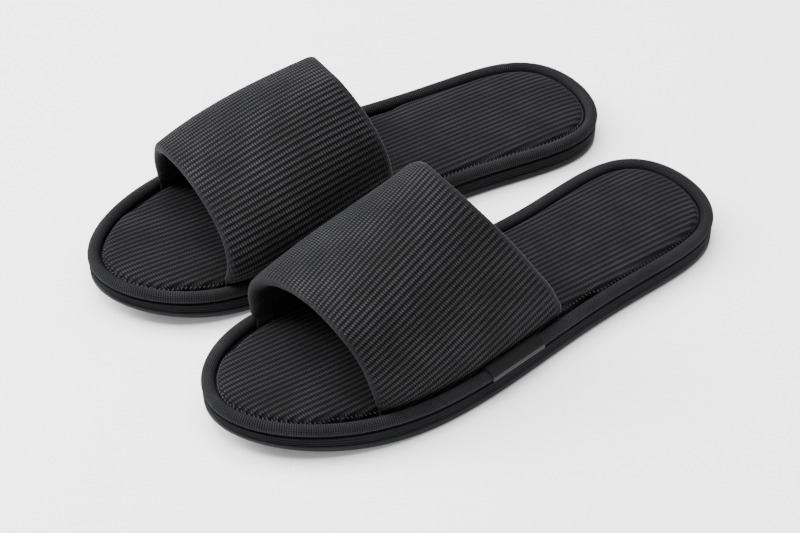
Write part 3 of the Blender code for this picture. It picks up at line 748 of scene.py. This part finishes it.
# Raised edge of the rear fold, ahead of the rearmost row; the band knit also paints a highlight line
# along it.
FOLD_LINE = 0.0015
FOLD_WIDTH = 0.0005
FOLD_RIDGE = 0.0003
BAND_ARCH_COLUMNS = 396
BAND_TAIL_COLUMNS = 4
BAND_OUTER_ROWS = 88
BAND_ROLL_ROWS = 17
BAND_INNER_ROWS = 24
HEM_ROWS = 6
HEM_STEP = 0.0004
SKIN_DEPTH = 0.0001
# Row of the section that lies on the very edge of the rear fold.
BAND_REAR_ROW = BAND_ROLL_ROWS + BAND_OUTER_ROWS - 2 + BAND_ROLL_ROWS // 2
# The ribs fade out towards both folds, and round to the inside of the band.
LIP_FRONT = (0.0009, 0.0020)
LIP_REAR = (0.0022, 0.0014)
LIP_RIBS = 0.22
FOLD_RIBS = 0.35
# Shares of the arch: the step for directions, and where the feet start to stand upright.
ARCH_STEP = 0.004
CREST_STEP = 0.020
FOOT_START = 0.90
EVEN_STEPS = 2000


def band_foot(share, lateral):
    """Where one side of the band stands in the seam, and the level direction into the slipper."""
    front, rear = BAND_LATERAL if lateral else BAND_MEDIAL
    back = front + (rear - front) * share
    angle = np.arccos(1.0 - 2.0 * back / SOLE_LENGTH)
    turn = angle if lateral else 2.0 * math.pi - angle
    inward = sole_inward(turn)
    foot = sole_edge(turn) + inward * BAND_INSET
    level = np.column_stack([inward, np.zeros(len(share))])
    return toe_lift(np.column_stack([foot, np.full(len(share), RIM_TOP)])), level


def band_surface(share, across):
    """Outer face of the band: share runs front to rear, across from -1 lateral to 1 medial."""
    lateral_foot, _ = band_foot(share, True)
    medial_foot, _ = band_foot(share, False)
    front, middle, rear = CREST_HEIGHTS
    height = ((1.0 - share) * (1.0 - 2.0 * share) * front + 4.0 * share * (1.0 - share) * middle
              + share * (2.0 * share - 1.0) * rear)
    crest = 0.5 * (lateral_foot + medial_foot)
    crest[:, 0] -= CREST_SIDE[0] + (CREST_SIDE[1] - CREST_SIDE[0]) * share
    crest[:, 1] += CREST_LEAN[0] + (CREST_LEAN[1] - CREST_LEAN[0]) * share
    crest[:, 2] += height
    outer = across < 0.0
    foot = np.where(outer[:, None], lateral_foot, medial_foot)
    tilt = np.where(outer, LATERAL_SHOULDER[0], MEDIAL_SHOULDER[0])
    grip = height * np.where(outer, LATERAL_SHOULDER[1], MEDIAL_SHOULDER[1])
    roof = (np.abs(crest[:, 0] - foot[:, 0])
            * np.where(outer, LATERAL_SHOULDER[2], MEDIAL_SHOULDER[2]))
    hand = np.where(outer, 1.0, -1.0)
    first = foot + np.column_stack([hand * grip * np.sin(tilt), 0.0 * grip, grip * np.cos(tilt)])
    second = crest + np.column_stack([hand * roof, 0.0 * roof, 0.0 * roof])
    t = (1.0 - np.abs(across))[:, None]
    return ((1.0 - t) ** 3 * foot + 3.0 * (1.0 - t) ** 2 * t * first
            + 3.0 * (1.0 - t) * t ** 2 * second + t ** 3 * crest)


def band_frame(share, across, drop):
    """Places on the outer face and directions into the padding; drop goes down a tail."""
    share = np.clip(share, 0.0, 1.0)
    side_step = np.where(np.abs(across) < ARCH_STEP, CREST_STEP, ARCH_STEP)
    over = (band_surface(share, np.clip(across + side_step, -1.0, 1.0))
            - band_surface(share, np.clip(across - side_step, -1.0, 1.0)))
    along = (band_surface(np.clip(share + ARCH_STEP, 0.0, 1.0), across)
             - band_surface(np.clip(share - ARCH_STEP, 0.0, 1.0), across))
    depth = np.cross(over, along)
    depth /= np.linalg.norm(depth, axis=1, keepdims=True)
    place = band_surface(share, across)
    lateral = across < 0.0
    level = np.where(lateral[:, None], band_foot(share, True)[1], band_foot(share, False)[1])
    standing = smooth_share((np.abs(across) - FOOT_START) / (1.0 - FOOT_START))[:, None]
    depth = depth * (1.0 - standing) + level * standing
    depth /= np.linalg.norm(depth, axis=1, keepdims=True)
    top = toe_lift(np.column_stack([place[:, :2], np.full(len(place), RIM_TOP)]))
    bottom = toe_lift(np.column_stack([place[:, :2], np.full(len(place), SEAM_LOW)]))
    place[:, 2] += drop * (bottom[:, 2] - top[:, 2])
    return place, depth


# Columns stand evenly along the arch, and each knows how thick and how wide the band is there.
even = np.linspace(-1.0, 1.0, EVEN_STEPS + 1)
arch = band_surface(np.full(EVEN_STEPS + 1, 0.5), even)
arch_length = np.concatenate([[0.0], np.cumsum(np.linalg.norm(np.diff(arch, axis=0), axis=1))])
arch_across = np.interp(np.linspace(0.0, arch_length[-1], BAND_ARCH_COLUMNS + 1), arch_length, even)
tail_drop = np.linspace(1.0, 0.0, BAND_TAIL_COLUMNS + 1)[:-1]
feet = np.ones(BAND_TAIL_COLUMNS)
column_across = np.concatenate([-feet, arch_across, feet])
column_drop = np.concatenate([tail_drop, np.zeros(BAND_ARCH_COLUMNS + 1), tail_drop[::-1]])
column_count = len(column_across)
column_rise = band_surface(np.full(column_count, 0.5), column_across)[:, 2] - RIM_TOP
column_thick = (BAND_SEAM_THICK
                + (BAND_THICK - BAND_SEAM_THICK) * smooth_share(column_rise / BAND_SWELL))
column_width = np.linalg.norm(band_surface(np.ones(column_count), column_across)
                              - band_surface(np.zeros(column_count), column_across), axis=1)


def band_shell(name, profile, rear_row):
    """Loop of (distance from the front edge, depth) on every column, closed round the band."""
    table = np.array([profile(width, thick) for width, thick in zip(column_width, column_thick)])
    rows = table.shape[1]
    piece, u, v = start_grid(name, column_count - 1, rows - 1)
    column = np.rint(u * (column_count - 1)).astype(int)
    row = np.rint(v * (rows - 1)).astype(int)
    distance, depth = table[column, row, 0], table[column, row, 1]
    place, direction = band_frame(distance / column_width[column],
                                  column_across[column], column_drop[column])
    set_points(piece, place + direction * depth[:, None])
    order = np.empty((column_count, rows), dtype=int)
    order[column, row] = np.arange(len(column))
    skin = get_points(piece)[order]
    steps = np.linalg.norm(np.diff(skin, axis=0), axis=2)
    reach = np.concatenate([np.zeros((1, rows)), np.cumsum(steps, axis=0)])
    reach -= reach[np.abs(column_across).argmin()]
    straight = np.interp(column_across, even, arch_length) - np.interp(0.0, even, arch_length)
    reach = BAND_RIB_FOLLOW * reach + (1.0 - BAND_RIB_FOLLOW) * straight[:, None]
    reach -= BAND_RIB_DRIFT * (table[:, :, 0] / column_width[:, None] - 0.5)
    phase = (np.sign(reach) * np.log1p(np.abs(reach) * BAND_RIB_SPREAD / BAND_RIB_MIDDLE)
             / BAND_RIB_SPREAD)
    run = np.concatenate([np.zeros((column_count, 1)),
                          np.cumsum(np.linalg.norm(np.diff(skin, axis=1), axis=2), axis=1)], axis=1)
    run -= run[:, rear_row][:, None]
    return piece, phase[column, row], run[column, row], depth, distance, column, row


def band_cover_profile(width, thick):
    """Over the top, round both folds and under; the middle of the inner face is set back."""
    bend = 0.5 * thick
    turns = np.linspace(-0.5 * math.pi, 0.5 * math.pi, BAND_ROLL_ROWS)
    path = [(bend - bend * math.cos(turn), bend - bend * math.sin(turn)) for turn in turns]
    path += [(distance, 0.0) for distance in np.linspace(bend, width - bend, BAND_OUTER_ROWS)[1:-1]]
    path += [(width - bend + bend * math.cos(turn), bend - bend * math.sin(turn))
             for turn in turns[::-1]]
    hem = BAND_HEM - HEM_STEP
    path += [(width - distance, thick) for distance in np.linspace(bend, hem, HEM_ROWS)[1:]]
    path += [(distance, thick - LINING_DEPTH)
             for distance in np.linspace(width - BAND_HEM, BAND_HEM, BAND_INNER_ROWS)]
    path += [(distance, thick) for distance in np.linspace(hem, bend, HEM_ROWS)[:-1]]
    path.append(path[0])
    return path


# Colours: painted shade in the furrows, the crowns' tone, and the lighter flecks.
band_knit = knit_finish("band_knit", (0.0010, 0.0010, 0.0011), (0.0090, 0.0090, 0.0100),
                        (0.052, 0.052, 0.056), BAND_RIB_MIDDLE, STITCH_PITCH, 0.6,
                        fold_line=FOLD_LINE)
for side in SIDES:
    cover, phase, run, depth, distance, column, row = band_shell(
        side + "_padded_band", band_cover_profile, BAND_REAR_ROW)
    set_uv(cover, phase * BAND_RIB_MIDDLE, run)
    outer = smooth_share(1.0 - depth / column_thick[column])
    outer *= smooth_share((1.0 - column_drop[column]) * 2.0 - 1.0)
    away = np.empty(len(cover.data.vertices) * 3)
    cover.data.vertex_normals.foreach_get("vector", away)
    away = away.reshape(-1, 3)
    points = get_points(cover)
    _, into = band_frame(distance / column_width[column],
                         column_across[column], column_drop[column])
    if (away * into)[depth < SKIN_DEPTH].sum() > 0.0:
        away = -away
    rise = np.maximum(points[:, 2] - RIM_TOP, 0.0)
    bulge = BAND_BULGE * smooth_share(rise / BAND_BULGE_RISE)
    bulge *= 1.0 - smooth_share((rise - BULGE_TOP) / BULGE_EASE)
    bulge -= BAND_CREASE * (1.0 - smooth_share(rise / CREASE_RISE))
    lip = smooth_share((distance - LIP_FRONT[0]) / LIP_FRONT[1])
    lip *= smooth_share((column_width[column] - distance - LIP_REAR[0]) / LIP_REAR[1])
    ribs = LIP_RIBS + (1.0 - LIP_RIBS) * lip
    relief = BAND_RELIEF * (rib_wave(phase) - BAND_RIB_LEVEL) * outer * ribs
    ridge = FOLD_RIDGE * np.exp(-((run + FOLD_LINE) / FOLD_WIDTH) ** 2) * outer
    set_points(cover, points + away * (relief + bulge * outer + ridge)[:, None])
    # rib_share sets how strongly the band knit's painted rib light and shade show at each point.
    mark = cover.data.attributes.new("rib_share", "FLOAT", "POINT")
    share = ribs * (FOLD_RIBS + (1.0 - FOLD_RIBS) * outer)
    mark.data.foreach_set("value", share.astype(np.float32))
    close_seams(cover, fill_ends=True)
    finish_side(cover, side, "upper_cover", band_knit)

# ---- Band linings --------------------------------------------------------------------------
# A flat piece of plain black jersey that closes the band's inner face between the two hems. It is
# caught under the hems and stretched over the foam.
LINING_THICK = 0.0007
LINING_GAP = 0.0004
LINING_ROWS = 36
LINING_RIB = 0.0011
LINING_STITCH = 0.0009
# Colours: painted shade in the furrows, the crowns' tone, and the lighter flecks.
lining_jersey = knit_finish("lining_jersey", (0.0020, 0.0020, 0.0022), (0.0050, 0.0050, 0.0054),
                            (0.0100, 0.0100, 0.0105), LINING_RIB, LINING_STITCH, 1.0)


def lining_profile(width, thick):
    """Thin closed sheet between the hems, level with their inner faces."""
    reach = np.linspace(BAND_HEM + LINING_GAP, width - BAND_HEM - LINING_GAP, LINING_ROWS)
    path = [(distance, thick - LINING_THICK) for distance in reach]
    path += [(distance, thick) for distance in reach[::-1]]
    path.append(path[0])
    return path


for side in SIDES:
    lining, phase, run, _, _, column, row = band_shell(side + "_band_lining", lining_profile, 0)
    set_uv(lining, phase * BAND_RIB_MIDDLE, run)
    skin = get_points(lining)
    order = np.empty((column_count, 2 * LINING_ROWS + 1), dtype=int)
    order[column, row] = np.arange(len(column))
    close_seams(lining, fill_ends=True)
    finish_side(lining, side, "upper_lining", lining_jersey)

# ---- Labels --------------------------------------------------------------------------------
# A bare woven tape folded out of the seam and lying over the welt on the outer side. Its free edge
# is turned under and stitched, which leaves a thin paler hem line; its face is left blank.
LABEL_BACK = 0.1315
LABEL_LONG = 0.0330
LABEL_THICK = 0.0005
LABEL_GAP = 0.0003
LABEL_SLACK = 0.0002
LABEL_FLATTEN = 0.00055
LABEL_ANGLES = (38, 50, 62, 74, 86, 98, 110, 122, 134, 146, 158, 168, 178, 184, 190)
LABEL_COLUMNS = 66
LABEL_HEM = 0.0088
HEM_RIDGE = 0.00018
HEM_START = 178.0
HEM_EASE = 0.0001
LABEL_SMOOTH = math.radians(50)
WEAVE_SCALE = 620.0
woven_label, nodes, links, shader = start_finish("woven_label", {
    "Roughness": 0.75, "Specular IOR Level": 0.12, "Sheen Weight": 0.02,
})
cloth = nodes.new("ShaderNodeTexCoord")
split = nodes.new("ShaderNodeSeparateXYZ")
weave = nodes.new("ShaderNodeMath")
weave.operation = "MULTIPLY"
for number, direction in enumerate("XY"):
    yarn = nodes.new("ShaderNodeTexWave")
    yarn.bands_direction = direction
    set_inputs(yarn, {"Scale": WEAVE_SCALE, "Distortion": 0.4})
    links.new(cloth.outputs["UV"], yarn.inputs["Vector"])
    links.new(yarn.outputs["Fac"], weave.inputs[number])
body_tone = tone_ramp(nodes, links, weave.outputs["Value"],
                      (0.0022, 0.0022, 0.0025), (0.0075, 0.0072, 0.0078))
hem_share = nodes.new("ShaderNodeMapRange")
set_inputs(hem_share, {"From Min": LABEL_HEM, "From Max": LABEL_HEM + HEM_EASE})
hem_color = nodes.new("ShaderNodeMix")
hem_color.data_type = "RGBA"
hem_color.inputs["B"].default_value = (0.040, 0.040, 0.044, 1.0)
links.new(cloth.outputs["UV"], split.inputs["Vector"])
links.new(split.outputs["Y"], hem_share.inputs["Value"])
links.new(hem_share.outputs["Result"], hem_color.inputs["Factor"])
links.new(body_tone.outputs["Color"], hem_color.inputs["A"])
links.new(hem_color.outputs["Result"], shader.inputs["Base Color"])
add_bump(nodes, links, weave.outputs["Value"], strength=0.7, distance=0.00008)

label_turn = np.array([math.acos(1.0 - 2.0 * LABEL_BACK / SOLE_LENGTH)])
label_inward = sole_inward(label_turn)[0]
label_edge = sole_edge(label_turn)[0]
label_toe = np.array([label_inward[1], -label_inward[0]])
for side in SIDES:
    angles = np.radians(np.array(LABEL_ANGLES))
    reach = WELT_RADIUS + LABEL_GAP + 0.5 * LABEL_THICK
    line = np.column_stack([WELT_RADIUS + (reach + LABEL_SLACK) * np.cos(angles),
                            WELT_HEIGHT + (reach + LABEL_FLATTEN) * np.sin(angles)])
    facing = np.gradient(line, axis=0)
    facing /= np.linalg.norm(facing, axis=1, keepdims=True)
    facing = np.column_stack([-facing[:, 1], facing[:, 0]])
    hem = np.where(np.array(LABEL_ANGLES) >= HEM_START, HEM_RIDGE, 0.0)
    upper = line - facing * (0.5 * LABEL_THICK + hem)[:, None]
    lower = line + facing * (0.5 * LABEL_THICK)
    loop = np.vstack([upper, lower[::-1], upper[:1]])
    label, u, v = start_grid(side + "_woven_label", LABEL_COLUMNS, len(loop) - 1)
    spot = loop[np.rint(v * (len(loop) - 1)).astype(int)]
    along = (0.5 - u) * LABEL_LONG
    plan = label_edge + label_inward * spot[:, 0:1] + label_toe * along[:, None]
    set_points(label, np.column_stack([plan, spot[:, 1]]))
    steps = np.concatenate([[0.0], np.cumsum(np.linalg.norm(np.diff(loop, axis=0), axis=1))])
    set_uv(label, u * LABEL_LONG, steps[np.rint(v * (len(loop) - 1)).astype(int)])
    close_seams(label, fill_ends=True)
    finish_side(label, side, "label_tab", woven_label, body="label")
    bpy.ops.object.shade_smooth_by_angle(angle=LABEL_SMOOTH)
